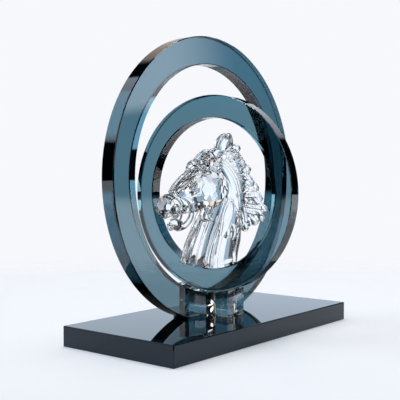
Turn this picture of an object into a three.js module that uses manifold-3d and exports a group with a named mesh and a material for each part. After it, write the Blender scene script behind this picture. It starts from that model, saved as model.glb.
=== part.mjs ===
// Crystal horse head ornament: a clear horse bust seated in the bore of a smoked glass ring, which crosses
// inside a larger smoked glass ring on a black glass plate, with a clear block before and behind them.
// Millimetres, +Z up. The plate stands on Z = 0, the horse looks towards -X and the small ring's axis is on X.
import * as THREE from 'three';
import { mergeVertices } from 'three/addons/utils/BufferGeometryUtils.js';
import Module from 'manifold-3d';

const wasm = await Module();
wasm.setup();

// Plate
const PLATE_LENGTH = 296;
const PLATE_DEPTH = 139;
const PLATE_HEIGHT = 20;
const PLATE_OFFSET_Y = -6;
const PLATE_BEVEL = 1;

// Large ring, its flat faces looking along Y
const LARGE_RADIUS = 146;
const LARGE_WIDTH = 28.5;
const LARGE_THICKNESS = 16;
const LARGE_OFFSET_Y = 5;
const LARGE_CENTRE = 140;

// Small ring, its flat faces looking along X
const SMALL_RADIUS = 101.7;
const SMALL_WIDTH = 23.5;
const SMALL_THICKNESS = 13.2;
const SMALL_CENTRE = 124.7;

const RING_BEVEL = 0.8;
const RING_SIDES = 120;

// Clear blocks that carry the small ring
const BLOCK_SIZE = 28;
const BLOCK_BEVEL = 0.8;

// Clearance between pieces that touch, and the distance at which two corners are one
const GAP = 0.3;
const WELD = 1e-4;

// Horse bust: heights are above the plate, lengths run from the seat, the nose being at negative X
const HORSE_YAW = THREE.MathUtils.degToRad(-15);
const SEAT_CURVE_RADIUS = 150;
const SEAT_WIDTH = 120;
const SEAT_SIDES = 96;
const SEAT_RISE = 1.5;
const SEAT_HEIGHT = SMALL_CENTRE - SMALL_RADIUS + SMALL_WIDTH + SEAT_RISE;
const FLUTE_COUNT = 18;
const FLUTE_DEPTH = 0.085;
const FLUTE_REACH = 0.62;
const FACE_SLOPE = -0.62;

// Facets round and along the neck, the head, a tuft of hair and a rounded swelling
const NECK_SIDES = 2 * FLUTE_COUNT;
const NECK_ROWS = 14;
const HEAD_SIDES = 12;
const HEAD_ROWS = 12;
const TUFT_SIDES = 10;
const TUFT_ROWS = 6;
const SWELL_SIDES = 14;
const SWELL_ROWS = 9;

// A station is an oval across the spine: its centre (x, z) and half sizes along the spine's normal and Y
const station = (x, z, depth, width) => ({ x, z, depth, width });

const NECK = [
  station(-5, 42, 35, 15),
  station(-5.5, 58, 32, 15),
  station(1, 80, 28, 15.5),
  station(9, 100, 26, 15.5),
  station(17, 122, 25, 15),
  station(20, 145, 21, 13),
  station(16, 163, 15, 10),
  station(10, 172, 7, 6),
];

const HEAD = [
  station(20, 158, 8, 8),
  station(7, 148, 25, 14),
  station(-6, 140.5, 29, 16.5),
  station(-22, 132.5, 24, 14),
  station(-36, 123.5, 18.5, 11.5),
  station(-47, 115, 15, 11),
  station(-55, 109, 12, 10),
  station(-59, 106, 6, 6),
];

const EAR = [
  station(8, 163, 4, 3),
  station(12, 173, 7, 4.8),
  station(16, 182, 6.4, 4.6),
  station(17.5, 187.5, 3.2, 2.6),
];
const EAR_SPREAD = 5.5;

const FORELOCK = [
  station(12, 171, 4, 5),
  station(2, 171, 5.5, 7.5),
  station(-9, 165, 5, 7),
  station(-17, 158, 2.5, 3.5),
];

// A swelling is an ellipsoid: its centre (x, z), half sizes along X, Y and Z, slope about Y and side spread
const swelling = (x, z, sizeX, sizeY, sizeZ, slope, spread) => ({ x, z, sizeX, sizeY, sizeZ, slope, spread });

const NOSE = swelling(-53, 111, 14.5, 13.5, 14, 0, 0);
const CHIN = swelling(-42, 98.5, 10.5, 9, 10, 0, 0);
const CHEEK = swelling(1, 133, 20, 8, 23, FACE_SLOPE, 8.5);
const BROW = swelling(-18, 157.5, 12, 6, 5, FACE_SLOPE, 9.5);
const EYE = swelling(-18, 150, 4.5, 3, 3.4, FACE_SLOPE, 13.5);
const NOSTRIL = swelling(-62, 114, 4, 3, 3, 0, 10);

// Roots and tips of the first and last lock of the mane and of the short one below it, in the middle plane
const LOCK_COUNT = 8;
const LOCK_SIDE_STEP = 2.4;
const POLL_ROOT = new THREE.Vector2(9, 165);
const POLL_TIP = new THREE.Vector2(22, 178);
const POLL_BOW = 2;
const WITHERS_ROOT = new THREE.Vector2(12, 92);
const WITHERS_TIP = new THREE.Vector2(79, 96);
const WITHERS_BOW = 7;
const FRINGE_ROOT = new THREE.Vector2(6, 80);
const FRINGE_TIP = new THREE.Vector2(42, 80);

// Ovals of one lock: shares of its length and of its bow, and half sizes
const LOCK_OVALS = [
  { along: 0, rise: 0, depth: 10, width: 9 },
  { along: 0.5, rise: 1, depth: 10.5, width: 8.5 },
  { along: 0.82, rise: 0.6, depth: 8.4, width: 7 },
  { along: 1, rise: 0, depth: 3.5, width: 3.5 },
];

// Clear crystal, smoked glass and black glass
const clearCrystal = new THREE.MeshStandardMaterial({ color: 0xeef4f8, roughness: 0.03, metalness: 0 });
const smokedGlass = new THREE.MeshStandardMaterial({ color: 0x6f93a6, roughness: 0.04, metalness: 0 });
const blackGlass = new THREE.MeshStandardMaterial({ color: 0x16191d, roughness: 0.05, metalness: 0 });

function toSolid(geometry) {
  const bare = geometry.clone();
  bare.deleteAttribute('normal');
  bare.deleteAttribute('uv');
  const merged = mergeVertices(bare, WELD);
  return new wasm.Manifold(new wasm.Mesh({
    numProp: 3,
    vertProperties: new Float32Array(merged.attributes.position.array),
    triVerts: new Uint32Array(merged.index.array),
  }));
}

function toGeometry(solid) {
  const mesh = solid.getMesh();
  const geometry = new THREE.BufferGeometry();
  geometry.setAttribute('position', new THREE.BufferAttribute(mesh.vertProperties, 3));
  geometry.setIndex(new THREE.BufferAttribute(mesh.triVerts, 1));
  return geometry;
}

// Box with bevelled edges, standing on its own origin
function bevelledBox(length, depth, height, bevel) {
  const outline = new THREE.Shape();
  outline.moveTo(-length / 2 + bevel, -depth / 2 + bevel);
  outline.lineTo(length / 2 - bevel, -depth / 2 + bevel);
  outline.lineTo(length / 2 - bevel, depth / 2 - bevel);
  outline.lineTo(-length / 2 + bevel, depth / 2 - bevel);
  outline.closePath();
  const geometry = new THREE.ExtrudeGeometry(outline, {
    depth: height - 2 * bevel,
    bevelThickness: bevel,
    bevelSize: bevel,
    bevelSegments: 1,
  });
  return geometry.translate(0, 0, bevel);
}

// Ring of rectangular section with small bevels, its axis on Y and its centre on the origin
function flatRing(radius, width, thickness, bevel) {
  const inner = radius - width;
  const half = thickness / 2;
  const profile = [
    new THREE.Vector2(inner + bevel, -half),
    new THREE.Vector2(radius - bevel, -half),
    new THREE.Vector2(radius, -half + bevel),
    new THREE.Vector2(radius, half - bevel),
    new THREE.Vector2(radius - bevel, half),
    new THREE.Vector2(inner + bevel, half),
    new THREE.Vector2(inner, half - bevel),
    new THREE.Vector2(inner, -half + bevel),
    new THREE.Vector2(inner + bevel, -half),
  ];
  return new THREE.LatheGeometry(profile, RING_SIDES);
}

// Closed tube through oval stations: a plain cylinder's rows are carried along the spine
function ovalTube(stations, sides, rows, relief = () => 1) {
  const spine = new THREE.CatmullRomCurve3(stations.map((s) => new THREE.Vector3(s.x, 0, s.z)));
  const sizes = new THREE.CatmullRomCurve3(stations.map((s) => new THREE.Vector3(s.depth, s.width, 0)));
  const geometry = new THREE.CylinderGeometry(1, 1, 1, sides, rows);
  const position = geometry.attributes.position;
  const across = new THREE.Vector3(0, 1, 0);
  for (let i = 0; i < position.count; i += 1) {
    const along = position.getY(i) + 0.5;
    const centre = spine.getPoint(along);
    const tangent = spine.getTangent(along);
    const normal = new THREE.Vector3().crossVectors(tangent, across);
    const size = sizes.getPoint(along);
    const swell = relief(Math.atan2(position.getX(i), position.getZ(i)), along);
    centre.addScaledVector(normal, position.getX(i) * size.x * swell);
    centre.addScaledVector(across, position.getZ(i) * size.y * swell);
    position.setXYZ(i, centre.x, centre.y, centre.z);
  }
  return geometry;
}

function ellipsoid(form, side) {
  const geometry = new THREE.SphereGeometry(1, SWELL_SIDES, SWELL_ROWS);
  geometry.scale(form.sizeX, form.sizeY, form.sizeZ);
  return geometry.rotateY(form.slope).translate(form.x, side * form.spread, form.z);
}

function tuft(stations, sideways) {
  return ovalTube(stations, TUFT_SIDES, TUFT_ROWS).translate(0, sideways, 0);
}

// One lock of hair from a root to a tip in the middle plane, arched upwards by bow and set off to one side
function hairLock(root, tip, bow, side) {
  const stations = LOCK_OVALS.map((oval) => {
    const centre = new THREE.Vector2().lerpVectors(root, tip, oval.along);
    return station(centre.x, centre.y + bow * oval.rise, oval.depth, oval.width);
  });
  return tuft(stations, side * LOCK_SIDE_STEP);
}

// Locks run from the poll to the withers, and a short one lies on the neck below them
function maneLocks() {
  const locks = [hairLock(FRINGE_ROOT, FRINGE_TIP, POLL_BOW, 1)];
  for (let i = 0; i < LOCK_COUNT; i += 1) {
    const share = i / (LOCK_COUNT - 1);
    const root = new THREE.Vector2().lerpVectors(POLL_ROOT, WITHERS_ROOT, share);
    const tip = new THREE.Vector2().lerpVectors(POLL_TIP, WITHERS_TIP, share);
    const bow = THREE.MathUtils.lerp(POLL_BOW, WITHERS_BOW, share);
    locks.push(hairLock(root, tip, bow, i % 2 === 0 ? 1 : -1));
  }
  return locks;
}

// Upright flutes that fade out towards the throat
function neckRelief(angle, along) {
  const fade = Math.max(0, 1 - along / FLUTE_REACH);
  return 1 + FLUTE_DEPTH * fade * Math.cos(FLUTE_COUNT * angle);
}

function horseSolid() {
  let bust = toSolid(ovalTube(NECK, NECK_SIDES, NECK_ROWS, neckRelief));
  const forms = [
    ovalTube(HEAD, HEAD_SIDES, HEAD_ROWS),
    tuft(FORELOCK, 0),
    ellipsoid(NOSE, 0),
    ellipsoid(CHIN, 0),
    ...maneLocks(),
  ];
  for (const side of [-1, 1]) {
    forms.push(tuft(EAR, side * EAR_SPREAD));
    forms.push(ellipsoid(CHEEK, side));
    forms.push(ellipsoid(BROW, side));
    forms.push(ellipsoid(EYE, side));
  }
  for (const form of forms) {
    bust = bust.add(toSolid(form));
  }
  for (const side of [-1, 1]) {
    bust = bust.subtract(toSolid(ellipsoid(NOSTRIL, side)));
  }
  const seat = new THREE.CylinderGeometry(SEAT_CURVE_RADIUS, SEAT_CURVE_RADIUS, SEAT_WIDTH, SEAT_SIDES);
  seat.translate(0, 0, SEAT_HEIGHT + SEAT_CURVE_RADIUS);
  return bust.intersect(toSolid(seat));
}

const ornament = new THREE.Group();

function addPiece(name, geometry, material, parent) {
  const mesh = new THREE.Mesh(geometry, material);
  mesh.name = name;
  parent.add(mesh);
  return mesh;
}

function buildPlate() {
  const geometry = bevelledBox(PLATE_LENGTH, PLATE_DEPTH, PLATE_HEIGHT, PLATE_BEVEL);
  const plate = addPiece('base_plate', geometry, blackGlass, ornament);
  plate.position.y = PLATE_OFFSET_Y;
}

// The large ring stands on a flat cut across its lowest arc
function buildLargeRing(parent) {
  const ring = flatRing(LARGE_RADIUS, LARGE_WIDTH, LARGE_THICKNESS, RING_BEVEL);
  ring.translate(0, LARGE_OFFSET_Y, LARGE_CENTRE);
  const below = new THREE.BoxGeometry(4 * LARGE_RADIUS, 4 * LARGE_THICKNESS, LARGE_RADIUS);
  below.translate(0, LARGE_OFFSET_Y, GAP - LARGE_RADIUS / 2);
  addPiece('large_ring', toGeometry(toSolid(ring).subtract(toSolid(below))), smokedGlass, parent);
}

function smallRingGeometry(grow) {
  const ring = flatRing(SMALL_RADIUS + grow, SMALL_WIDTH + 2 * grow, SMALL_THICKNESS + 2 * grow, RING_BEVEL);
  return ring.rotateZ(Math.PI / 2).translate(0, 0, SMALL_CENTRE);
}

function buildSmallRing(parent) {
  addPiece('small_ring', smallRingGeometry(0), smokedGlass, parent);
}

// Each block's top is hollowed to the small ring's rim
function buildBlocks(parent) {
  const rim = SMALL_RADIUS + GAP;
  const ringSpace = new THREE.CylinderGeometry(rim, rim, 2 * BLOCK_SIZE, RING_SIDES);
  ringSpace.rotateZ(Math.PI / 2).translate(0, 0, SMALL_CENTRE);
  const reach = LARGE_THICKNESS / 2 + GAP + BLOCK_SIZE / 2;
  for (const [name, side] of [['front_block', -1], ['rear_block', 1]]) {
    const block = bevelledBox(BLOCK_SIZE, BLOCK_SIZE, BLOCK_SIZE, BLOCK_BEVEL);
    block.translate(0, LARGE_OFFSET_Y + side * reach, GAP);
    addPiece(name, toGeometry(toSolid(block).subtract(toSolid(ringSpace))), clearCrystal, parent);
  }
}

// The bust sits astride the small ring's bore
function buildHorse(parent) {
  const turned = toGeometry(horseSolid()).rotateZ(HORSE_YAW);
  const seated = toSolid(turned).subtract(toSolid(smallRingGeometry(GAP)));
  addPiece('horse_head', toGeometry(seated), clearCrystal, parent);
}

const onPlate = new THREE.Group();
onPlate.position.z = PLATE_HEIGHT;
ornament.add(onPlate);

buildPlate();
buildLargeRing(onPlate);
buildSmallRing(onPlate);
buildBlocks(onPlate);
buildHorse(onPlate);

export default ornament;
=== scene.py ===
"""Looks of the crystal horse head ornament: smoked rings, clear blocks, black plate and a clear crystal bust.

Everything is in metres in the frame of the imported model: +Z is up, the plate stands on Z = 0 and the horse looks
towards -X.
"""
import json
import logging
import math
from dataclasses import dataclass, replace
from enum import Enum
from typing import Sequence

import bmesh
import bpy
from mathutils import Matrix, Vector
from mathutils.bvhtree import BVHTree


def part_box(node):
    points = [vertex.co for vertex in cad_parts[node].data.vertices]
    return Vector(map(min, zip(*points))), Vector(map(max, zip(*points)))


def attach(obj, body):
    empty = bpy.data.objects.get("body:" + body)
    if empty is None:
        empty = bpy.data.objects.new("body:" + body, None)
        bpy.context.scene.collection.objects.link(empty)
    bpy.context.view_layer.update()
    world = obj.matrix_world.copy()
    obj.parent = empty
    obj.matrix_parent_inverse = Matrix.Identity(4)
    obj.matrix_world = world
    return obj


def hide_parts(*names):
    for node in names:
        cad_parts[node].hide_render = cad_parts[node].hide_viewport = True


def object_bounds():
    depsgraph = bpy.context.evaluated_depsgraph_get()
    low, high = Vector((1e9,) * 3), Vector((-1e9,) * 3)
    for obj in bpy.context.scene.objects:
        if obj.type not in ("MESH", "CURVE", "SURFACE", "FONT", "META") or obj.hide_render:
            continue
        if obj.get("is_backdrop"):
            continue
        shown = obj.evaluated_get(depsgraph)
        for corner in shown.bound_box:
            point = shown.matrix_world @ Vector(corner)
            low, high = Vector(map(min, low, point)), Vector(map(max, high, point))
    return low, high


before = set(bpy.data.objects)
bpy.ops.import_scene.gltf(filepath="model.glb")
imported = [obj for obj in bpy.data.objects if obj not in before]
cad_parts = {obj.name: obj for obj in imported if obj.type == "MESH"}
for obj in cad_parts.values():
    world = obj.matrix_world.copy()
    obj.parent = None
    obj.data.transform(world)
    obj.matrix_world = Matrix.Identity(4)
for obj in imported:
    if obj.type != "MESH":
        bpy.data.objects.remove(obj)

CAD_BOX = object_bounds()
BODY = "root"
MM = 0.001
MERGE = 1e-6
STRAND_SIDES, STRAND_ROWS = 12, 6
LOG = logging.getLogger("ornament")


class Axis(Enum):
    """The axis of the model that a ring is turned about."""

    X = (1.0, 0.0, 0.0)
    Y = (0.0, 1.0, 0.0)

    @property
    def vector(self) -> Vector:
        """The axis as a unit vector."""
        return Vector(self.value)


def added(
    tree: bpy.types.NodeTree, kind: str, values: dict[str | int, float | tuple[float, ...]] | None = None,
    links: dict[str | int, bpy.types.NodeSocket] | None = None, **settings: str,
) -> bpy.types.Node:
    """Adds a node.

    Args:
        tree: the node tree.
        kind: the node's type.
        values: what its sockets are set to.
        links: what its sockets are linked to.
        settings: its own options.

    Returns:
        The new node.
    """
    node = tree.nodes.new(kind)
    for option, choice in settings.items():
        setattr(node, option, choice)
    for socket, value in (values or {}).items():
        node.inputs[socket].default_value = value
    for socket, source in (links or {}).items():
        tree.links.new(source, node.inputs[socket])
    return node


@dataclass(frozen=True)
class Glass:
    """A polished glass finish.

    Args:
        name: name of the material.
        slot: name of a material slot; not used.
        tint: colours between which the surface drifts.
        roughness: lowest and highest roughness of the polish.
        ripple: height of the faint surface waviness, in metres.
        ripple_size: width of one wave, in metres.
        drift_size: width of one patch of the drifting colour, in waves.
        ior: index of refraction.
        clear: share of light that passes the surface.
        mirror: colour of its mirror images; on the black glass a painted bluish tint of its reflections.
        absorb: colour that the body of the glass lets through, and how strongly it keeps the rest, per metre.
    """

    name: str
    slot: str
    tint: tuple[tuple[float, float, float], tuple[float, float, float]]
    roughness: tuple[float, float]
    ripple: float
    ripple_size: float
    drift_size: float = 8.0
    ior: float = 1.52
    clear: float = 1.0
    mirror: tuple[float, float, float] = (1.0, 1.0, 1.0)
    absorb: tuple[tuple[float, float, float], float] | None = None

    def material(self) -> bpy.types.Material:
        """Makes the node material.

        Returns:
            The new material.
        """
        material = bpy.data.materials.new(self.name)
        material.use_nodes = True
        tree = material.node_tree
        shader = tree.nodes["Principled BSDF"]
        shader.inputs["IOR"].default_value = self.ior
        shader.inputs["Transmission Weight"].default_value = self.clear
        # Specular tint: where it is not white, a painted colour laid on the reflections.
        shader.inputs["Specular Tint"].default_value = (*self.mirror, 1.0)
        place = added(tree, "ShaderNodeTexCoord").outputs["Object"]
        patch = self.drift_size * self.ripple_size
        drift = added(tree, "ShaderNodeTexNoise", {"Scale": 1.0 / patch}, {"Vector": place})
        colour = added(tree, "ShaderNodeValToRGB", links={"Fac": drift.outputs["Fac"]})
        for stop, tint in zip(colour.color_ramp.elements, self.tint):
            stop.color = (*tint, 1.0)
        tree.links.new(colour.outputs["Color"], shader.inputs["Base Color"])
        low, high = self.roughness
        polish = added(
            tree, "ShaderNodeMapRange", {"To Min": low, "To Max": high}, {"Value": drift.outputs["Fac"]},
        )
        tree.links.new(polish.outputs["Result"], shader.inputs["Roughness"])
        wave = added(tree, "ShaderNodeTexNoise", {"Scale": 1.0 / self.ripple_size}, {"Vector": place})
        bump = added(tree, "ShaderNodeBump", {"Distance": self.ripple}, {"Height": wave.outputs["Fac"]})
        tree.links.new(bump.outputs["Normal"], shader.inputs["Normal"])
        if self.absorb:
            passed, density = self.absorb
            body = added(tree, "ShaderNodeVolumeAbsorption", {"Color": (*passed, 1.0), "Density": density})
            tree.links.new(body.outputs["Volume"], tree.nodes["Material Output"].inputs["Volume"])
        return material


CRYSTAL = Glass(
    name="cut_crystal",
    slot="clear_crystal",
    tint=((0.985, 0.992, 1.0), (1.0, 1.0, 1.0)),
    roughness=(0.0, 0.004),
    ripple=0.00002,
    ripple_size=0.012,
)
SMOKED = Glass(
    name="smoke_blue_glass",
    slot="smoked_glass",
    tint=((0.97, 0.985, 1.0), (1.0, 1.0, 1.0)),
    roughness=(0.0, 0.006),
    ripple=0.000004,
    ripple_size=0.03,
    absorb=((0.0, 0.31, 0.40), 136.0),
)
DEEP = replace(SMOKED, name="deep_smoke_blue_glass", absorb=((0.0, 0.31, 0.40), 156.0))
BLACK = Glass(
    name="polished_black_glass",
    slot="black_glass",
    tint=((0.002, 0.0024, 0.003), (0.004, 0.0046, 0.0055)),
    roughness=(0.0, 0.01),
    ripple=0.000004,
    ripple_size=0.04,
    clear=0.0,
    # Painted reflection: a bluish tint on all the plate's mirror images, standing in for the bluish shade of the
    # floor that it mirrors.
    mirror=(0.58, 0.78, 1.0),
)


def finish_piece(
    name: str, bm: bmesh.types.BMesh, glass: Glass, node: str, sharp: float, facet: float = math.inf,
) -> bpy.types.Object:
    """Turns a mesh under construction into a dressed piece that stands for a CAD node.

    Args:
        name: name of the piece.
        bm: the mesh, which is freed.
        glass: its finish.
        node: the CAD node that it replaces.
        sharp: edges that bend by more than this angle, in radians, stay crisp.
        facet: faces larger than this, in square metres, stay flat.

    Returns:
        The new object.
    """
    bmesh.ops.remove_doubles(bm, verts=bm.verts, dist=MERGE)
    bmesh.ops.recalc_face_normals(bm, faces=bm.faces)
    for face in bm.faces:
        face.smooth = face.calc_area() < facet
    for edge in bm.edges:
        edge.smooth = edge.is_manifold and edge.calc_face_angle(0.0) < sharp
    mesh = bpy.data.meshes.new(name)
    bm.to_mesh(mesh)
    bm.free()
    piece = bpy.data.objects.new(name, mesh)
    bpy.context.scene.collection.objects.link(piece)
    mesh.materials.append(bpy.data.materials.get(glass.name) or glass.material())
    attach(piece, BODY)
    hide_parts(node)
    LOG.info("%s: %d faces", name, len(mesh.polygons))
    return piece


@dataclass
class Plate:
    """The black plate that carries everything.

    Args:
        bevel: width of its polished edges, in metres.
        bevel_steps: facets across an edge.
        crisp: edges that bend by more than this angle, in radians, stay crisp.
        flat: faces larger than this, in square metres, are shaded flat, so that they mirror without a dome.
    """

    bevel: float = 1.0 * MM
    bevel_steps: int = 3
    crisp: float = math.radians(35)
    flat: float = 1000.0 * MM ** 2

    def build(self) -> bpy.types.Object:
        """Builds and dresses the plate.

        Returns:
            The plate's object.
        """
        low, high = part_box("base_plate")
        bm = bmesh.new()
        place = Matrix.Translation((low + high) / 2) @ Matrix.Diagonal((*(high - low), 1.0))
        bmesh.ops.create_cube(bm, size=1.0, matrix=place)
        bmesh.ops.bevel(
            bm, geom=bm.edges[:], offset=self.bevel, segments=self.bevel_steps, profile=0.5,
            affect="EDGES", material=-1,
        )
        return finish_piece("plate", bm, BLACK, "base_plate", self.crisp, self.flat)


@dataclass
class Ring:
    """A ring of rectangular section with fine polished chamfers, in metres.

    Args:
        name: name of the piece.
        node: the CAD node that it replaces.
        axis: the axis that it is turned about.
        centre: its middle.
        radius: radius of its rim.
        width: width of its face.
        thickness: its size along the axis.
        glass: its finish.
        foot: height at which it is cut flat to stand, if it is.
        chamfer: width of its chamfers.
        steps: facets round it.
        crisp: edges that bend by more than this angle, in radians, stay crisp.
    """

    name: str
    node: str
    axis: Axis
    centre: Vector
    radius: float
    width: float
    thickness: float
    glass: Glass = SMOKED
    foot: float | None = None
    chamfer: float = 0.8 * MM
    steps: int = 360
    crisp: float = math.radians(25)

    def body(self, grow: float = 0.0) -> bmesh.types.BMesh:
        """Spins the section round the axis.

        Args:
            grow: how much larger than the ring the result is on every side, in metres.

        Returns:
            The closed ring.
        """
        bm = bmesh.new()
        out = Vector((0.0, 0.0, 1.0))
        half = self.axis.vector * (self.thickness / 2 + grow)
        rim, bore = out * (self.radius + grow), out * (self.radius - self.width - grow)
        corners = [bm.verts.new(self.centre + p) for p in (bore - half, rim - half, rim + half, bore + half)]
        section = bm.faces.new(corners)
        bmesh.ops.bevel(
            bm, geom=section.verts[:], offset=self.chamfer, segments=1, profile=0.5,
            affect="VERTICES", material=-1,
        )
        bmesh.ops.delete(bm, geom=bm.faces[:], context="FACES_ONLY")
        bmesh.ops.spin(
            bm, geom=bm.edges[:] + bm.verts[:], cent=self.centre, axis=self.axis.vector,
            angle=math.tau, steps=self.steps, use_merge=True,
        )
        bmesh.ops.remove_doubles(bm, verts=bm.verts, dist=MERGE)
        return bm

    def build(self) -> bpy.types.Object:
        """Spins the ring and cuts its foot flat.

        Returns:
            The ring's object.
        """
        bm = self.body()
        if self.foot is not None:
            bmesh.ops.bisect_plane(
                bm, geom=bm.verts[:] + bm.edges[:] + bm.faces[:], plane_co=(0.0, 0.0, self.foot),
                plane_no=(0.0, 0.0, -1.0), clear_outer=True,
            )
            bmesh.ops.edgeloop_fill(bm, edges=[e for e in bm.edges if e.is_boundary])
        return finish_piece(self.name, bm, self.glass, self.node, self.crisp)


@dataclass
class Block:
    """A clear cube whose top is hollowed to the small ring's rim, in metres.

    Args:
        name: name of the piece.
        node: the CAD node that it replaces.
        ring_centre: height of the ring's middle.
        ring_radius: radius of the ring's rim.
        gap: gap between the rim and the hollow.
        bevel: width of its polished edges.
        slices: cuts that make the hollow round.
        corner: edges that bend by more than this angle, in radians, are bevelled.
        crisp: edges that bend by more than this angle, in radians, stay crisp.
    """

    name: str
    node: str
    ring_centre: float
    ring_radius: float
    gap: float = 0.3 * MM
    bevel: float = 0.8 * MM
    slices: int = 24
    corner: float = math.radians(40)
    crisp: float = math.radians(35)

    def build(self) -> bpy.types.Object:
        """Builds the cube, lowers its top to the rim and bevels its edges.

        Returns:
            The block's object.
        """
        low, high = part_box(self.node)
        size = high.x - low.x
        bm = bmesh.new()
        middle = Vector(((low.x + high.x) / 2, (low.y + high.y) / 2, low.z + size / 2))
        bmesh.ops.create_cube(bm, size=size, matrix=Matrix.Translation(middle))
        along = [e for e in bm.edges if abs(e.verts[0].co.y - e.verts[1].co.y) > size / 2]
        bmesh.ops.subdivide_edges(bm, edges=along, cuts=self.slices, use_grid_fill=True)
        reach = self.ring_radius + self.gap
        for vert in bm.verts:
            if vert.co.z > middle.z:
                rim = self.ring_centre - math.sqrt(reach ** 2 - vert.co.y ** 2)
                vert.co.z = min(vert.co.z, rim)
        corners = [e for e in bm.edges if e.calc_face_angle(0.0) > self.corner]
        bmesh.ops.bevel(
            bm, geom=corners, offset=self.bevel, segments=2, profile=0.5, affect="EDGES", material=-1,
        )
        return finish_piece(self.name, bm, CRYSTAL, self.node, self.crisp)


@dataclass(frozen=True)
class Station:
    """An oval across a spine, in millimetres of the bust's own frame.

    Args:
        x: place along the horse, the nose being at negative X.
        y: place across the horse.
        z: height above the plate.
        depth: half size in the direction that is upright to the spine.
        width: half size across the horse.
    """

    x: float
    y: float
    z: float
    depth: float
    width: float

    def row(self) -> Vector:
        """The five values as one vector."""
        return Vector((self.x, self.y, self.z, self.depth, self.width))


@dataclass(frozen=True)
class Strands:
    """Rounded ridges that run along a tube with creases between them.

    Args:
        count: ridges in a full turn.
        depth: depth of the creases as a share of the radius.
        reach: shares of the length between which they grow to full depth.
        half: half of the turn that carries them, in radians, from the front.
        edge: part of that turn, in radians, over which they fade.
    """

    count: int
    depth: float
    reach: tuple[float, float] = (-1.0, 0.0)
    half: float = math.tau
    edge: float = 0.25

    def swell(self, angle: float, along: float) -> float:
        """Scale of the radius.

        Args:
            angle: angle round the tube, 0 being the side of positive depth.
            along: share of the tube's length.

        Returns:
            The radius there as a share of the plain tube's.
        """
        first, last = self.reach
        fade = min(1.0, max(0.0, (along - first) / (last - first)))
        edge = min(1.0, max(0.0, (self.half - abs(angle)) / self.edge))
        crease = 1.0 - abs(math.sin(self.count * angle / 2))
        return 1.0 - self.depth * fade * edge * crease


@dataclass(frozen=True)
class Tube:
    """A closed tube through oval stations.

    Args:
        stations: the ovals, from root to tip.
        sides: facets round it.
        rows: facets along it.
        strands: ridges along it.
        corner: 2 for ovals, more for ovals with square shoulders.
        keel: width of the underside as a share of the top's.
        aside: direction of the width, as far as it is across the spine.
    """

    stations: tuple[Station, ...]
    sides: int = 24
    rows: int = 12
    strands: Strands = Strands(1, 0.0)
    corner: float = 2.0
    keel: float = 1.0
    aside: tuple[float, float, float] = (0.0, 1.0, 0.0)

    def at(self, along: float) -> tuple[Vector, Vector]:
        """Reads the smooth spine.

        Args:
            along: share of the length.

        Returns:
            The place and sizes there, and the way that they change.
        """
        rows = [station.row() for station in self.stations]
        rows = [rows[0] * 2 - rows[1], *rows, rows[-1] * 2 - rows[-2]]
        place = along * (len(rows) - 3)
        first = min(int(place), len(rows) - 4)
        t = place - first
        a, b, c, d = rows[first:first + 4]
        square, cube = a * 2 - b * 5 + c * 4 - d, b * 3 - a - c * 3 + d
        change = (c - a) / 2 + square * t + cube * (1.5 * t * t)
        value = b + (c - a) * (t / 2) + square * (t * t / 2) + cube * (t ** 3 / 2)
        return value, change

    def build(self) -> bmesh.types.BMesh:
        """Carries the rows of a plain drum along the spine.

        Returns:
            The closed tube, in millimetres.
        """
        bm = bmesh.new()
        bmesh.ops.create_cone(
            bm, cap_ends=True, segments=self.sides, radius1=1.0, radius2=1.0, depth=1.0,
            matrix=Matrix.Translation((0.0, 0.0, 0.5)),
        )
        upright = [e for e in bm.edges if abs(e.verts[0].co.z - e.verts[1].co.z) > 0.5]
        bmesh.ops.subdivide_edges(bm, edges=upright, cuts=self.rows - 1, use_grid_fill=True)
        aside = Vector(self.aside)
        for vert in bm.verts:
            angle = math.atan2(vert.co.y, vert.co.x)
            along = min(1.0, max(0.0, vert.co.z))
            value, change = self.at(along)
            ahead = change.xyz.normalized()
            across = (aside - ahead * ahead.dot(aside)).normalized()
            upward = across.cross(ahead)
            c, s = math.cos(angle), math.sin(angle)
            shoulder = (abs(c) ** self.corner + abs(s) ** self.corner) ** (-1.0 / self.corner)
            swell = shoulder * self.strands.swell(angle, along)
            narrow = 1.0 + (self.keel - 1.0) * (1.0 - c) / 2
            vert.co = value.xyz + upward * (c * swell * value[3]) + across * (s * swell * narrow * value[4])
        return bm


@dataclass(frozen=True)
class Swelling:
    """A rounded lump or hollow with ground facets, in millimetres of the bust's own frame.

    Args:
        place: its middle.
        size: its half sizes.
        slope: its turn about the cross axis, in radians.
        detail: fineness of its skin.
        facets: directions of the flat facets that are ground on it.
        ground: distance of those facets from its middle, as a share of its size.
    """

    place: tuple[float, float, float]
    size: tuple[float, float, float]
    slope: float = 0.0
    detail: int = 3
    facets: tuple[tuple[float, float, float], ...] = ()
    ground: float = 0.93

    def build(self) -> bmesh.types.BMesh:
        """Makes the lump.

        Returns:
            The closed lump, in millimetres.
        """
        bm = bmesh.new()
        turn = Matrix.Rotation(self.slope, 4, "Y")
        bmesh.ops.create_icosphere(bm, subdivisions=self.detail, radius=1.0)
        for facet in self.facets:
            outward = Vector(facet).normalized()
            bmesh.ops.bisect_plane(
                bm, geom=bm.verts[:] + bm.edges[:] + bm.faces[:], plane_co=outward * self.ground, plane_no=outward,
                clear_outer=True,
            )
            bmesh.ops.edgeloop_fill(bm, edges=[e for e in bm.edges if e.is_boundary])
        place = Matrix.Translation(self.place) @ turn @ Matrix.Diagonal((*self.size, 1.0))
        bmesh.ops.transform(bm, matrix=place, verts=bm.verts)
        return bm


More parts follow.
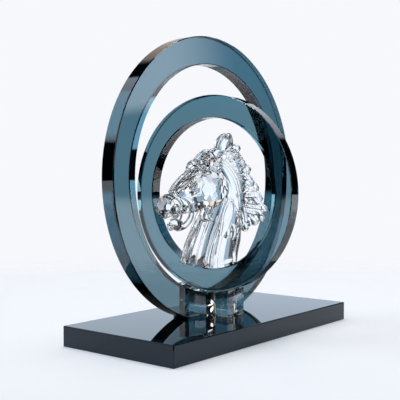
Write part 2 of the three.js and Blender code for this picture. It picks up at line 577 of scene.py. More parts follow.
def settled(bm: bmesh.types.BMesh) -> bmesh.types.BMesh:
    """Rewrites a form with its faces in a fixed order, which some operators change from run to run.

    Args:
        bm: the form, which is freed.

    Returns:
        The same form.
    """
    bm.verts.index_update()
    outlines = []
    for face in bm.faces:
        corners = [vert.index for vert in face.verts]
        lowest = corners.index(min(corners))
        outlines.append(corners[lowest:] + corners[:lowest])
    same = bmesh.new()
    verts = [same.verts.new(vert.co) for vert in bm.verts]
    for corners in sorted(outlines):
        same.faces.new([verts[i] for i in corners])
    bm.free()
    return same


def carved(
    first: bmesh.types.BMesh, joined: Sequence[bmesh.types.BMesh] = (), hollows: Sequence[bmesh.types.BMesh] = (),
    bounds: Sequence[bmesh.types.BMesh] = (),
) -> bmesh.types.BMesh:
    """Joins closed forms to one skin, takes hollows away and keeps what lies inside the bounds.

    Args:
        first: the form to start from; all the forms are freed.
        joined: the forms that are joined to it.
        hollows: what is taken away.
        bounds: what bounds the result.

    Returns:
        The closed skin.
    """
    solids = []
    for bm in (first, *joined, *hollows, *bounds):
        bmesh.ops.recalc_face_normals(bm, faces=bm.faces)
        if bm.calc_volume(signed=True) < 0.0:
            bmesh.ops.reverse_faces(bm, faces=bm.faces)
        mesh = bpy.data.meshes.new("form")
        form = settled(bm)
        form.to_mesh(mesh)
        form.free()
        solids.append(bpy.data.objects.new("form", mesh))
    base, rest = solids[0], solids[1:]
    bpy.context.scene.collection.objects.link(base)
    groups = []
    for operation, count in (("UNION", len(joined)), ("DIFFERENCE", len(hollows)), ("INTERSECT", len(bounds))):
        group = bpy.data.collections.new(operation)
        groups.append(group)
        members, rest = rest[:count], rest[count:]
        if members:
            bpy.context.scene.collection.children.link(group)
            for member in members:
                group.objects.link(member)
            step = base.modifiers.new(operation, "BOOLEAN")
            step.operation = operation
            step.operand_type = "COLLECTION"
            step.collection = group
            step.solver = "MANIFOLD"
    skin = bpy.data.meshes.new_from_object(base.evaluated_get(bpy.context.evaluated_depsgraph_get()))
    bm = bmesh.new()
    bm.from_mesh(skin)
    bpy.data.meshes.remove(skin)
    for solid in solids:
        bpy.data.meshes.remove(solid.data)
    for group in groups:
        bpy.data.collections.remove(group)
    return bm


@dataclass(frozen=True)
class Crease:
    """A narrow V-shaped line cut into a skin, in millimetres of the bust's own frame.

    Args:
        points: places that it passes, on the skin or near it.
        half: half its width.
        depth: its depth.
        step: distance between the places at which it is laid on the skin.
        end: its size at both ends, as a share.
    """

    points: tuple[tuple[float, float, float], ...]
    half: float = 0.9
    depth: float = 2.2
    step: float = 2.5
    end: float = 0.3

    def build(self, skin: BVHTree) -> bmesh.types.BMesh:
        """Lays the line on the skin.

        Args:
            skin: the skin that it is cut into.

        Returns:
            The closed blade that cuts the line, in millimetres.
        """
        path = [Vector(point) for point in self.points]
        places = []
        outward = Vector()
        for a, b in zip(path, path[1:]):
            count = max(1, round((b - a).length / self.step))
            for i in range(count + (b is path[-1])):
                place, normal, _, _ = skin.find_nearest(a.lerp(b, i / count))
                places.append(place)
                outward += normal
        stations = []
        for i, place in enumerate(places):
            thin = self.end if i in (0, len(places) - 1) else 1.0
            stations.append(Station(*place, self.half * thin, self.depth * thin))
        return Tube(tuple(stations), 4, 2 * len(stations), aside=tuple(outward.normalized())).build()


# Shares of a lock's length, and its thickness there as a share of its largest.
LOCK_SHAPE = (
    (0.0, 0.55), (0.2, 0.98), (0.34, 0.84), (0.48, 1.0), (0.62, 0.82), (0.76, 0.96), (0.88, 0.80), (0.96, 0.66),
    (1.0, 0.25),
)


@dataclass(frozen=True)
class Lock:
    """A wavy lock of hair, in millimetres of the bust's own frame.

    Args:
        root: where it leaves the bust.
        tip: where it ends.
        size: its half height and half width at its thickest.
        bow: how far its middle rises above the straight line.
        curl: how far its tip drops.
        wave: how far it waves up and down on its way.
        sides: facets round it.
        rows: facets along it.
        corner: 2 for a round lock, more for one with square shoulders.
    """

    root: tuple[float, float, float]
    tip: tuple[float, float, float]
    size: tuple[float, float]
    bow: float = 3.0
    curl: float = 2.0
    wave: float = 0.0
    sides: int = 20
    rows: int = 32
    corner: float = 2.6

    def build(self) -> bmesh.types.BMesh:
        """Makes the lock.

        Returns:
            The closed lock, in millimetres.
        """
        stations = []
        for share, thick in LOCK_SHAPE:
            place = Vector(self.root).lerp(Vector(self.tip), share)
            place.z += self.bow * math.sin(math.pi * share) - self.curl * share ** 4 + self.curl * share
            place.z += self.wave * math.sin(3.0 * math.pi * share + self.root[2])
            stations.append(Station(*place, self.size[0] * thick, self.size[1] * thick))
        return Tube(tuple(stations), self.sides, self.rows, corner=self.corner).build()


def strand(
    points: Sequence[tuple[float, float, float]], radius: float, side: float = 1.0, end: float = 0.45,
) -> bmesh.types.BMesh:
    """Makes a thin round strand that tapers at both ends.

    Args:
        points: the places that it passes, in millimetres of the bust's own frame, on the side of positive Y.
        radius: its largest half size.
        side: 1 for that side, -1 for its mirror image.
        end: its size at both ends, as a share.

    Returns:
        The closed strand, in millimetres.
    """
    last = len(points) - 1
    stations = []
    for i, (x, y, z) in enumerate(points):
        thick = radius * (end if i in (0, last) else 1.0)
        stations.append(Station(x, side * y, z, thick, thick))
    return Tube(tuple(stations), STRAND_SIDES, STRAND_ROWS * last).build()


@dataclass
class HorseBust:
    """The clear crystal bust: fluted neck, faceted head, forelock, ears and mane in one closed skin.

    Its own frame is in millimetres above the plate, with the nose at negative X and the near side at negative Y.

    Args:
        ring: the ring whose bore it sits on.
        node: the CAD node that it replaces.
        gap: gap between the bust and the bore, in metres.
        turn: turn of the bust about the upright axis, in radians.
        plate_top: height of the plate's top.
        seat_height: height of the lowest point of the bust's rounded underside.
        seat_radius: radius of that underside.
        seat_width: width of the form that rounds it.
        seat_sides: facets round that form.
        flight: root and tip of each flying lock of the mane, as X and Z.
        web: lowest and highest Y of the thin web that joins those locks.
        web_reach: length of the web along each of them, as a share.
        web_notch: depth of its notches between them, as a share.
        lock_reach: length of a lock in the line of flight and of one between two lines, as shares.
        short_reach: length of the shorter lock over it, as a share.
        swell_at: place of the swell near each tip, as a share.
        facet: faces larger than this, in square millimetres, are shaded flat.
        crisp: edges that bend by more than this angle, in radians, stay crisp.
    """

    ring: Ring
    node: str = "horse_head"
    gap: float = 0.3 * MM
    turn: float = math.radians(-15)
    plate_top: float = 20.0
    seat_height: float = 48.0
    seat_radius: float = 150.0
    seat_width: float = 120.0
    seat_sides: int = 240
    flight: tuple[tuple[tuple[float, float], tuple[float, float]], ...] = (
        ((12, 163), (35, 171.5)), ((15, 159), (39.0, 159.5)), ((19, 154), (51, 148.5)), ((23, 147), (53, 137)),
        ((25, 141), (63, 128)), ((26, 132), (69, 115.5)), ((27, 123), (76.5, 104)),
        ((27, 114), (72.0, 94)), ((27, 105), (62.0, 90.5)), ((26, 97), (46.0, 85)),
    )
    web: tuple[float, float] = (-1.5, 3.0)
    web_reach: float = 0.90
    web_notch: float = 0.10
    lock_reach: tuple[float, float] = (0.97, 0.88)
    short_reach: float = 0.66
    swell_at: float = 0.84
    facet: float = 14.0
    crisp: float = math.radians(32)

    @staticmethod
    def cut(side: float = -1.0) -> tuple[tuple[float, float, float], ...]:
        """Directions of the facets ground on one side of a dome.

        Args:
            side: 1 for the side of positive Y, -1 for the other.

        Returns:
            One facet at the crown and three rings of facets round it.
        """
        facets = [(0.0, side, 0.0)]
        for count, tilt in ((6, 0.50), (9, 0.92), (11, 1.32)):
            lean, rise = math.sin(tilt), math.cos(tilt)
            for i in range(count):
                angle = math.tau * (i + tilt) / count
                facets.append((lean * math.cos(angle), side * rise, lean * math.sin(angle)))
        return tuple(facets)

    def neck(self) -> list[bmesh.types.BMesh]:
        """Makes the neck, fluted in front, with strands of hair down its back.

        Returns:
            The closed forms.
        """
        spine = (
            Station(10, 0, 172, 7, 6), Station(16, 0, 163, 15, 10), Station(20, 0, 145, 21, 13),
            Station(17, 0, 122, 25, 15), Station(9, 0, 100, 26, 15.5), Station(1, 0, 80, 28, 15.5),
            Station(-5.5, 0, 58, 32, 15), Station(-5, 0, 42, 35, 15),
        )
        forms = [Tube(spine, 168, 60, Strands(18, 0.22, (0.36, 0.58), half=1.95)).build()]
        for y in (-6.5, 0, 6.5):
            forms.append(strand(((29, y, 96), (29, y, 80), (25, y, 62), (25, y, 42)), 4.0))
        return forms

    def head(self) -> list[bmesh.types.BMesh]:
        """Makes the faceted head with its ridged face front, nose, lips, cheeks, brows and eyes.

        Returns:
            The closed forms.
        """
        spine = (
            Station(16, 0, 152, 8, 7), Station(8, 0, 146, 20, 12), Station(-1, 0, 134, 25, 15.5),
            Station(-16, 0, 127, 21, 16), Station(-29, 0, 121, 17, 15), Station(-43, 0, 115.5, 12.5, 12.5),
            Station(-53, 0, 111.5, 10, 10), Station(-58, 0, 110, 5, 6),
        )
        nose_cut = (
            (0.0, -1.0, 0.0), (0.0, 1.0, 0.0), (-0.72, -0.62, 0.30), (-0.72, 0.62, 0.30), (-0.55, -0.55, -0.62),
            (-0.55, 0.55, -0.62),
        )
        brow = ((-15, -17, 154.5), (-18.5, -8, 156.5), (-19.5, 0, 157), (-20, 8, 156.5), (-19, 17, 154.5))
        lip = (
            (-47, 10, 121), (-38, 11, 118), (-33.5, 11, 111), (-33.5, 10.5, 103), (-37, 9.5, 96), (-43, 8, 91),
            (-49, 5, 90), (-54, 1, 94),
        )
        forms = [
            Tube(spine, 16, 9, corner=3.2, keel=0.75).build(),
            Swelling((-54, 0, 111), (14.5, 13.5, 13.5), 0.0, 4, nose_cut, 0.80).build(),
            Swelling((-45, 0, 93.5), (8.0, 7.0, 5.5), detail=2).build(),
            strand(brow, 2.6),
        ]
        for y in (-12.5, -4.5, 3.5):
            ridge = ((-20, y, 152), (-34, y * 0.9, 141.5), (-45, y * 0.75, 132), (-52, y * 0.6, 126))
            forms.append(strand(ridge, 3.2))
        for side in (-1, 1):
            forms += [
                Swelling((-6, side * 11.0, 129), (19.5, 10.0, 19.0), -0.4, 4, self.cut(side), 0.93).build(),
                Swelling((-18, side * 11.5, 151.5), (6.0, 7.5, 4.2), -0.71).build(),
                Swelling((-17, side * 15.5, 144.5), (5.0, 3.0, 3.2), -0.5).build(),
                strand(((-25, 14.5, 140.5), (-20, 17.5, 147.5), (-11, 16, 147.5)), 1.6, side),
                strand(lip, 3.0, side),
            ]
        return forms

    def hollows(self) -> list[bmesh.types.BMesh]:
        """Makes the hollows of the open mouth and the nostrils.

        Returns:
            The closed forms.
        """
        forms = [Swelling((-51, 0, 101.5), (13.0, 20.0, 3.0), -0.5).build()]
        for side in (-1, 1):
            forms.append(Swelling((-57, side * 13, 117.5), (3.2, 2.6, 2.4), -0.4).build())
            forms.append(Swelling((-44.5, side * 12, 106), (7.0, 7.0, 8.5), 0.25).build())
        return forms

    def forelock(self) -> list[bmesh.types.BMesh]:
        """Makes the ears and the wavy forelock between them.

        Returns:
            The closed forms.
        """
        forms = []
        for side in (-1, 1):
            ear = (
                Station(13, side * 3, 162, 7, 4.5), Station(14.5, side * 4, 171, 8.8, 5),
                Station(17, side * 4.2, 179, 7.4, 4.6), Station(19.2, side * 4, 185, 4.2, 3.2),
                Station(20.0, side * 4, 187.4, 1.4, 1.2),
            )
            forms.append(Tube(ear, 48, 20, Strands(8, 0.10), corner=2.3).build())
        for y, wave in ((-9.0, -1.0), (0.0, 1.0), (9.0, -1.0)):
            stations = (
                Station(10, y * 0.6, 162, 5.0, 5.2), Station(4, y * 0.8, 166 + wave, 4.8, 5.2),
                Station(-4, y + wave, 164.5 - wave, 4.6, 5.2), Station(-11, y - wave, 160 + wave, 4.4, 5.0),
                Station(-18, y, 155.5, 2.6, 3.4),
            )
            forms.append(Tube(stations, 24, 28).build())
        return forms

    def fan(self) -> bmesh.types.BMesh:
        """Makes the thin notched web that joins the flying locks.

        Returns:
            The closed web.
        """
        ends = [Vector(root).lerp(Vector(tip), self.web_reach) for root, tip in self.flight]
        outline = [Vector(root) for root, _ in self.flight]
        for i in range(len(self.flight) - 1, -1, -1):
            outline.append(ends[i])
            if i:
                notch = ends[i].lerp(ends[i - 1], 0.5)
                outline.append(notch.lerp(Vector(self.flight[i][0]), self.web_notch))
        low, high = self.web
        fan = bmesh.new()
        face = fan.faces.new([fan.verts.new((p.x, low, p.y)) for p in outline])
        grown = bmesh.ops.extrude_face_region(fan, geom=[face])["geom"]
        skin = [v for v in grown if isinstance(v, bmesh.types.BMVert)]
        bmesh.ops.translate(fan, vec=(0.0, high - low, 0.0), verts=skin)
        return fan

    def locks(self) -> list[bmesh.types.BMesh]:
        """Makes the locks that fly back from the crest, shorter ones over them, and the swell near their tips.

        Returns:
            The closed forms.
        """
        forms = []
        for i in range(2 * len(self.flight) - 1):
            first, second = self.flight[i // 2], self.flight[(i + 1) // 2]
            root = Vector(first[0]).lerp(Vector(second[0]), 0.5)
            tip = root.lerp(Vector(first[1]).lerp(Vector(second[1]), 0.5), self.lock_reach[i % 2])
            far = root.lerp(tip, self.short_reach)
            long = Lock((root.x - 1, -9.0, root.y), (tip.x, -0.5, tip.y), (3.6, 4.8), wave=1.8)
            short = Lock((root.x - 2, -10.5, root.y + 2.5), (far.x, -4.5, far.y + 2.5), (2.7, 4.0), wave=-1.8)
            forms += [long.build(), short.build()]
        for root, tip in self.flight:
            place = Vector(root).lerp(Vector(tip), self.swell_at)
            tilt = math.atan2(root[1] - tip[1], tip[0] - root[0])
            forms.append(Swelling((place.x, -0.5, place.y + 1.0), (6.5, 3.6, 4.6), tilt).build())
        return forms

    def crest(self) -> list[bmesh.types.BMesh]:
        """Makes the bands along the crest, the leaf and lobes below the mane, and the curls at the throat.

        Returns:
            The closed forms.
        """
        forms = []
        inner = ((-6, 11.0, 154), (5, 11.5, 150), (15, 12.5, 138), (19, 13.3, 126), (22, 13.3, 113), (27, 11.5, 92))
        outer = ((1, 8.5, 159), (13, 9.5, 152), (23, 10, 140), (27, 11, 126), (30, 11, 114), (36, 8, 94))
        for share in (0.0, 0.55, 1.1):
            path = [Vector(a).lerp(Vector(b), share) for a, b in zip(inner, outer)]
            stations = tuple(Station(p.x, -p.y, p.z, 3.4, 4.2) for p in path)
            forms.append(Tube(stations, 20, 40).build())
        leaf = (
            Station(15, -12.5, 121, 1.5, 1.5), Station(12.5, -14.0, 112, 4.6, 4.6),
            Station(9.5, -14.6, 101, 6.4, 5.2), Station(5.0, -14.6, 89, 4.4, 4.4),
            Station(1.0, -15.0, 78.5, 0.8, 0.8),
        )
        forms.append(Tube(leaf, 24, 24, corner=2.4).build())
        lobes = (
            ((9, -11.5, 86), (5, 7.0, 10)), ((17.5, -10.5, 85), (5.2, 7.0, 10)), ((26, -7.5, 90), (5.5, 8, 11)),
        )
        forms += [Swelling(place, size).build() for place, size in lobes]
        curls = (
            ((-11, 8, 113), (-18, 9.5, 107), (-19, 10, 99), (-13, 11.5, 96)),
            ((-6, 10, 111), (-12, 12, 103), (-9, 13.5, 95)),
        )
        return forms + [strand(path, 2.6, -1) for path in curls]

    def creases(self) -> list[Crease]:
        """Lists the lines cut into the near side of the cheek, the neck and the mane.

        Returns:
            The lines.
        """
        head = (
            ((0.4, -19.5, 133.6), (6.6, -17.7, 126.3), (10.8, -14.1, 117.6)),
            ((-3, -20, 124.4), (-0.9, -17.9, 117.8), (-8.6, -17.6, 116.5), (-6.5, -11.5, 110.4)),
            ((-38.4, -13.4, 120), (-28.4, -13.4, 123.2), (-20.3, -16.1, 122.4)),
        )
        neck = (
            ((-9, -11.4, 109.8), (-15, -12.4, 97.5), (-16, -8.2, 89)),
            ((4.3, -14.5, 110.7), (-1.2, -14.2, 93), (-1.3, -14.3, 80.5), (-6.7, -14.5, 61.3)),
            ((14.7, -15.5, 118.5), (6.9, -15, 111), (1.9, -15.4, 96.4), (0.1, -14.8, 83)),
            ((18.9, -17.5, 124), (23.4, -16.8, 115.6), (24.7, -16.7, 103), (31, -14.2, 96.2)),
            ((30.8, -14, 95.5), (25.6, -14.9, 86.2), (26.8, -10, 79), (19.4, -11.4, 75.2)),
        )
        mane = (
            ((9.4, -7.9, 167.7), (16, -12, 168.2), (26, -9.7, 167.3)),
            ((10.8, -9.5, 160), (17, -13, 160.7), (25, -11.9, 158)),
            ((13, -13.4, 153), (23, -12.4, 151.6), (32.8, -11.6, 147.5)),
            ((18.5, -13.5, 146), (28.8, -11.9, 145.3), (42.8, -7.3, 145.4)),
            ((19, -15.2, 140.3), (29.7, -13, 139), (43, -9.2, 138.2)),
            ((20.5, -15.5, 134), (32.5, -11.9, 131.8), (43.6, -9.7, 133.4)),
            ((22, -15.9, 128.3), (36.7, -11.4, 126), (55.5, -6.8, 126.6)),
            ((23.5, -16.2, 122), (38.3, -11.6, 119.6), (57.2, -7.2, 119.2)),
            ((25.3, -16.3, 116.3), (40.3, -11.5, 113), (61, -7.3, 112)),
            ((30.6, -14.3, 110.5), (45.4, -9.8, 108), (66.8, -5, 105.8)),
            ((33, -13.6, 104.7), (49.2, -7.6, 101.2), (67, -4.8, 100)),
        )
        lines = [Crease(path, 1.1, 2.8) for path in head] + [Crease(path) for path in neck]
        return lines + [Crease(path, 0.7, 1.8) for path in mane]

    def build(self) -> bpy.types.Object:
        """Builds and dresses the bust.

        Returns:
            The bust's object.
        """
        place = Matrix.Translation((0.0, 0.0, self.plate_top)) @ Matrix.Rotation(self.turn, 4, "Z")
        seat = bmesh.new()
        level = Matrix.Translation((0.0, 0.0, self.seat_height + self.seat_radius))
        bmesh.ops.create_cone(
            seat, cap_ends=True, segments=self.seat_sides, radius1=self.seat_radius, radius2=self.seat_radius,
            depth=self.seat_width, matrix=level @ Matrix.Rotation(math.pi / 2, 4, "X"),
        )
        bore = self.ring.body(self.gap)
        bmesh.ops.transform(bore, matrix=place.inverted() @ Matrix.Scale(1.0 / MM, 4), verts=bore.verts)
        forms = self.neck() + self.head() + self.forelock() + [self.fan()] + self.locks() + self.crest()
        bm = carved(forms[0], forms[1:], self.hollows() + [bore], [seat])
        skin = BVHTree.FromBMesh(bm)
        blades = [crease.build(skin) for crease in self.creases()]
        bm = carved(bm, hollows=blades)
        bmesh.ops.transform(bm, matrix=Matrix.Scale(MM, 4) @ place, verts=bm.verts)
        return finish_piece("horse_bust", bm, CRYSTAL, self.node, self.crisp, self.facet * MM ** 2)


@dataclass(frozen=True)
class Softbox:
    """A large soft light that the pieces mirror and refract.

    Args:
        name: name of the light.
        towards: direction in which it stands, seen from the ornament.
        distance: how far away it stands, in metres.
        size: its width and height, in metres.
        radiance: how bright its face is, white paper in the same studio being 1.
    """

    name: str
    towards: tuple[float, float, float]
    distance: float
    size: tuple[float, float]
    radiance: float

    def build(self, target: Vector) -> None:
        """Hangs the light so that it faces the target.

        Args:
            target: the place that it faces.
        """
        lamp = bpy.data.lights.new(self.name, "AREA")
        lamp.shape = "RECTANGLE"
        lamp.size, lamp.size_y = self.size
        lamp.energy = self.radiance * math.pi * self.size[0] * self.size[1]
        holder = bpy.data.objects.new(self.name, lamp)
        direction = Vector(self.towards).normalized()
        holder.location = target + direction * self.distance
        holder.rotation_euler = direction.to_track_quat("Z", "Y").to_euler()
        holder.visible_camera = False
        bpy.context.scene.collection.objects.link(holder)


def measured(
    tree: bpy.types.NodeTree, place: bpy.types.NodeSocket, along: tuple[float, float, float],
    span: tuple[float, float], smooth: bool = True,
) -> bpy.types.NodeSocket:
    """Measures a direction against an axis.

    Args:
        tree: the node tree.
        place: the direction.
        along: the axis.
        span: measures that give 0 and 1.
        smooth: whether the result eases in and out.

    Returns:
        The measure, from 0 to 1.
    """
    facing = added(tree, "ShaderNodeVectorMath", {1: along}, {0: place}, operation="DOT_PRODUCT")
    ease = added(
        tree, "ShaderNodeMapRange", {"From Min": span[0], "From Max": span[1]}, {"Value": facing.outputs["Value"]},
        interpolation_type="SMOOTHSTEP" if smooth else "LINEAR",
    )
    return ease.outputs["Result"]


@dataclass(frozen=True)
class Zone:
    """A soft-edged patch of the surroundings, such as a backdrop, a dark doorway or a lit screen.

    Args:
        towards: direction of its middle.
        cone: cosines of the angles from the middle at which it starts and is full.
        heights: sines of the elevations at which it starts, is full, begins to end and ends.
        colour: its light.
        lean: how much its edges lean along X and along Y.
    """

    towards: tuple[float, float, float]
    cone: tuple[float, float]
    heights: tuple[float, float, float, float]
    colour: tuple[float, float, float]
    lean: tuple[float, float] = (0.0, 0.0)

    def over(
        self, tree: bpy.types.NodeTree, place: bpy.types.NodeSocket, under: bpy.types.NodeSocket,
    ) -> bpy.types.NodeSocket:
        """Lays the patch over the light so far.

        Args:
            tree: the world's node tree.
            place: the direction.
            under: the light so far.

        Returns:
            The light with the patch.
        """
        upright = (*self.lean, 1.0)
        share = measured(tree, place, tuple(Vector(self.towards).normalized()), self.cone)
        for span in (self.heights[:2], (self.heights[3], self.heights[2])):
            level = measured(tree, place, upright, span)
            both = added(tree, "ShaderNodeMath", links={0: share, 1: level}, operation="MULTIPLY")
            share = both.outputs["Value"]
        mix = added(
            tree, "ShaderNodeMix", {"B": (*self.colour, 1.0)}, {"Factor": share, "A": under}, data_type="RGBA",
        )
        return mix.outputs["Result"]


# Level directions from the ornament to the camera and to the backdrop.
TO_CAMERA = (-0.777, -0.628, 0.0)
TO_BACKDROP = (0.777, 0.628, 0.0)
# Heights of a zone that has no lower and no upper edge.
ANY_HEIGHT = (-2.0, -1.5, 1.5, 2.0)


@dataclass
class Studio:
    """The pale floor, the soft light and the camera.

    Args:
        backdrop: colour behind the ornament, as the camera sees it.
        camera_at: place of the camera, in metres.
        camera_turn: its pitch and its turn about the upright axis, in degrees.
        lens: its focal length, in millimetres.
        sensor: width of its sensor, in millimetres.
        level: the angle that a camera is tipped by when it looks level, in degrees.
        nearest: distance at which it starts to see, in metres.
        floor_radius: radius of the floor, in metres.
        floor_sides: sides of its round outline.
        floor_rough: roughness of the floor.
        floor_colour: colour of the floor.
        floor_glow: colour and strength of the light that the floor has besides that of the softbox.
        floor_fade: distances from the middle between which the floor fades into the backdrop, in metres.
        front_fade: the same towards the camera.
        floor_dim: numbers of glass surfaces that light has met, between which it finds the floor dimmer.
        floor_loss: share of the floor's colour that then gives way to the dim one.
        floor_dark: the dim colour.
        room: sines of elevations, and the light of the room there, which the glass mirrors and refracts.
        zones: patches of light and dark in that room, each laid over those before it.
        overhead: the softbox above the ornament.
        aim: the place that the softbox faces, in metres.
        bounces: number of surfaces that light may pass.
        mirror_bounces: number of mirror images in one another.
    """

    backdrop: tuple[float, float, float] = (0.930, 0.940, 0.975)
    camera_at: tuple[float, float, float] = (-0.62477, -0.48894, 0.15697)
    camera_turn: tuple[float, float] = (-1.41, -51.06)
    lens: float = 68.4
    sensor: float = 36.0
    level: float = 90.0
    nearest: float = 0.01
    floor_radius: float = 4.0
    floor_sides: int = 96
    floor_rough: float = 0.9
    floor_colour: tuple[float, float, float] = (0.90, 0.86, 0.845)
    floor_glow: tuple[tuple[float, float, float], float] = ((0.72, 0.93, 1.14), 0.225)
    floor_fade: tuple[float, float] = (0.25, 0.85)
    front_fade: tuple[float, float] = (0.28, 0.42)
    floor_dim: tuple[float, float] = (3.0, 4.0)
    floor_loss: float = 0.95
    floor_dark: tuple[float, float, float] = (0.02, 0.02, 0.02)
    room: tuple[tuple[float, tuple[float, float, float]], ...] = (
        (-0.05, (0.10, 0.12, 0.14)),
        (-0.03, (0.006, 0.008, 0.010)),
        (0.40, (0.006, 0.008, 0.010)),
    )
    zones: tuple[Zone, ...] = (
        # The dark side of the room, behind the camera, with a small warm screen.
        Zone(TO_CAMERA, (0.0, 0.15), ANY_HEIGHT, (0.006, 0.006, 0.006)),
        Zone((-0.50, -0.80, 0.33), (0.94, 0.96), ANY_HEIGHT, (0.85, 0.74, 0.66)),
        # The backdrop: its dim surround, its middle and its brighter upper part.
        Zone(TO_BACKDROP, (0.86, 0.90), (-2.0, -1.5, 0.30, 0.36), (0.25, 0.38, 0.51)),
        Zone(TO_BACKDROP, (0.958, 0.974), (-2.0, -1.5, 0.205, 0.24), (0.93, 1.0, 1.08)),
        Zone((0.777, 0.628, 0.16), (0.958, 0.974), (0.08, 0.125, 0.205, 0.235), (0.91, 1.08, 1.27)),
        # A cool and a warm screen high at the back.
        Zone((0.83, 0.13, 0.53), (0.94, 0.965), (0.38, 0.43, 0.61, 0.67), (1.42, 1.58, 1.74)),
        Zone((0.53, 0.63, 0.55), (0.93, 0.97), ANY_HEIGHT, (0.88, 0.77, 0.70)),
        # The lit ground far at the left, and the dark wall above it.
        Zone((-0.77, 0.62, -0.08), (0.92, 0.955), (-0.60, -0.50, -0.035, -0.012), (1.5, 1.65, 1.8)),
        Zone((-0.77, 0.62, 0.10), (0.77, 0.80), (-0.025, -0.012, 0.25, 0.27), (0.005, 0.006, 0.007)),
        # The lit ground far at the right, and the dark wall above it.
        Zone((0.78, -0.62, -0.08), (0.92, 0.955), (-0.60, -0.50, -0.035, -0.012), (2.1, 2.2, 2.3)),
        Zone((0.78, -0.62, 0.0), (0.70, 0.75), (-0.025, -0.012, 0.03, 0.04), (0.005, 0.006, 0.007)),
        # A softbox high at the back left, and a leaning one low at the right.
        Zone((-0.387, 0.631, 0.672), (0.912, 0.93), ANY_HEIGHT, (1.55, 1.82, 2.15)),
        Zone((0.616, -0.788, 0.14), (0.962, 0.985), (0.08, 0.10, 0.22, 0.24), (2.8, 2.85, 2.9), lean=(-0.1, -0.1)),
    )
    overhead: Softbox = Softbox("overhead_box", (0.08, 0.0, 1.0), 1.8, (1.2, 1.2), 5.1)
    aim: tuple[float, float, float] = (0.0, 0.0, 0.15)
    bounces: int = 24
    mirror_bounces: int = 8

    def camera(self) -> None:
        """Sets the camera at the viewing angle of the ornament."""
        data = bpy.data.cameras.new("camera")
        data.lens = self.lens
        data.sensor_width = self.sensor
        data.clip_start = self.nearest
        camera = bpy.data.objects.new("camera", data)
        camera.location = self.camera_at
        pitch, turn = self.camera_turn
        camera.rotation_euler = (math.radians(self.level + pitch), 0.0, math.radians(turn))
        bpy.context.scene.collection.objects.link(camera)
        bpy.context.scene.camera = camera

    def floor(self) -> None:
        """Lays a wide pale floor that fades into the backdrop."""
        bm = bmesh.new()
        bmesh.ops.create_circle(bm, cap_ends=True, segments=self.floor_sides, radius=self.floor_radius)
        mesh = bpy.data.meshes.new("floor")
        bm.to_mesh(mesh)
        bm.free()
        floor = bpy.data.objects.new("floor", mesh)
        bpy.context.scene.collection.objects.link(floor)
        material = bpy.data.materials.new("pale_floor")
        material.use_nodes = True
        tree = material.node_tree
        shader = tree.nodes["Principled BSDF"]
        shader.inputs["Base Color"].default_value = (*self.floor_colour, 1.0)
        shader.inputs["Roughness"].default_value = self.floor_rough
        shader.inputs["Specular IOR Level"].default_value = 0.0
        shader.inputs["Emission Color"].default_value = (*self.floor_glow[0], 1.0)
        shader.inputs["Emission Strength"].default_value = self.floor_glow[1]
        place = added(tree, "ShaderNodeTexCoord").outputs["Object"]
        reach = added(tree, "ShaderNodeVectorMath", links={0: place}, operation="LENGTH")
        near, far = self.floor_fade
        fade = added(
            tree, "ShaderNodeMapRange", {"From Min": near, "From Max": far}, {"Value": reach.outputs["Value"]},
            interpolation_type="SMOOTHSTEP",
        )
        edge = measured(tree, place, TO_CAMERA, self.front_fade)
        end = added(tree, "ShaderNodeMath", links={0: fade.outputs["Result"], 1: edge}, operation="MAXIMUM")
        few, many = self.floor_dim
        loss = added(
            tree, "ShaderNodeMapRange", {"From Min": few, "From Max": many, "To Max": self.floor_loss},
            {"Value": added(tree, "ShaderNodeLightPath").outputs["Ray Depth"]},
        )
        dark = added(tree, "ShaderNodeBsdfDiffuse", {"Color": (*self.floor_dark, 1.0)})
        dimmed = added(
            tree, "ShaderNodeMixShader",
            links={"Fac": loss.outputs["Result"], 1: shader.outputs["BSDF"], 2: dark.outputs["BSDF"]},
        )
        through = added(tree, "ShaderNodeBsdfTransparent")
        mix = added(
            tree, "ShaderNodeMixShader",
            links={"Fac": end.outputs["Value"], 1: dimmed.outputs["Shader"], 2: through.outputs["BSDF"]},
        )
        tree.links.new(mix.outputs["Shader"], tree.nodes["Material Output"].inputs["Surface"])
        mesh.materials.append(material)
        floor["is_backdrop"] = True

    def surroundings(self) -> None:
        """Makes the pale backdrop that is seen, and the lit room that the glass mirrors and refracts."""
        world = bpy.data.worlds.new("surroundings")
        bpy.context.scene.world = world
        world.use_nodes = True
        tree = world.node_tree
        seen = tree.nodes["Background"]
        seen.inputs["Color"].default_value = (*self.backdrop, 1.0)
        place = added(tree, "ShaderNodeTexCoord").outputs["Generated"]
        height = measured(tree, place, (0.0, 0.0, 1.0), (-1.0, 1.0), smooth=False)
        room = added(tree, "ShaderNodeValToRGB", links={"Fac": height})
        while len(room.color_ramp.elements) < len(self.room):
            room.color_ramp.elements.new(0.5)
        for stop, (level, colour) in zip(room.color_ramp.elements, self.room):
            stop.position = (level + 1.0) / 2
            stop.color = (*colour, 1.0)
        light = room.outputs["Color"]
        for zone in self.zones:
            light = zone.over(tree, place, light)
        lit = added(tree, "ShaderNodeBackground", links={"Color": light})
        seen_first = added(tree, "ShaderNodeLightPath").outputs["Is Camera Ray"]
        mix = added(
            tree, "ShaderNodeMixShader",
            links={"Fac": seen_first, 1: lit.outputs["Background"], 2: seen.outputs["Background"]},
        )
        tree.links.new(mix.outputs["Shader"], tree.nodes["World Output"].inputs["Surface"])

    def build(self) -> None:
        """Builds the floor, the lights and the camera."""
        self.camera()
        self.floor()
        self.surroundings()
        self.overhead.build(Vector(self.aim))
        scene = bpy.context.scene
        scene.view_settings.view_transform = "Standard"
        scene.cycles.max_bounces = self.bounces
        scene.cycles.transmission_bounces = self.bounces
        scene.cycles.glossy_bounces = self.mirror_bounces
        scene.cycles.blur_glossy = 0.0


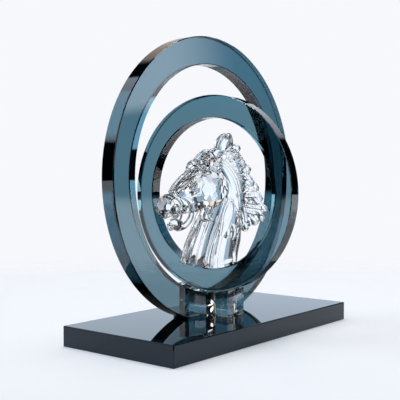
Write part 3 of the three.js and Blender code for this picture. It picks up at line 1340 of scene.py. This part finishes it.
def save_sizes() -> None:
    """Turns the CAD model's box and the visual model's box into JSON text, which it does not keep."""
    boxes = {"cad": CAD_BOX, "visual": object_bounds()}
    json.dumps({k: [list(corner) for corner in box] for k, box in boxes.items()})


def main() -> None:
    """Builds the ornament and its studio."""
    logging.basicConfig(level=logging.INFO)
    Studio().build()
    Plate().build()
    small = Ring(
        "small_glass_ring", "small_ring", Axis.X, Vector((0.0, 0.0, 144.7)) * MM, 101.7 * MM, 23.5 * MM, 13.2 * MM,
        DEEP,
    )
    large = Ring(
        "large_glass_ring", "large_ring", Axis.Y, Vector((0.0, 5.0, 160.0)) * MM, 146.0 * MM, 28.5 * MM, 16.0 * MM,
        foot=20.3 * MM,
    )
    small.build()
    large.build()
    for side in ("front", "rear"):
        Block(f"{side}_clear_block", f"{side}_block", small.centre.z, small.radius).build()
    HorseBust(small).build()
    save_sizes()


if __name__ == "__main__":
    main()
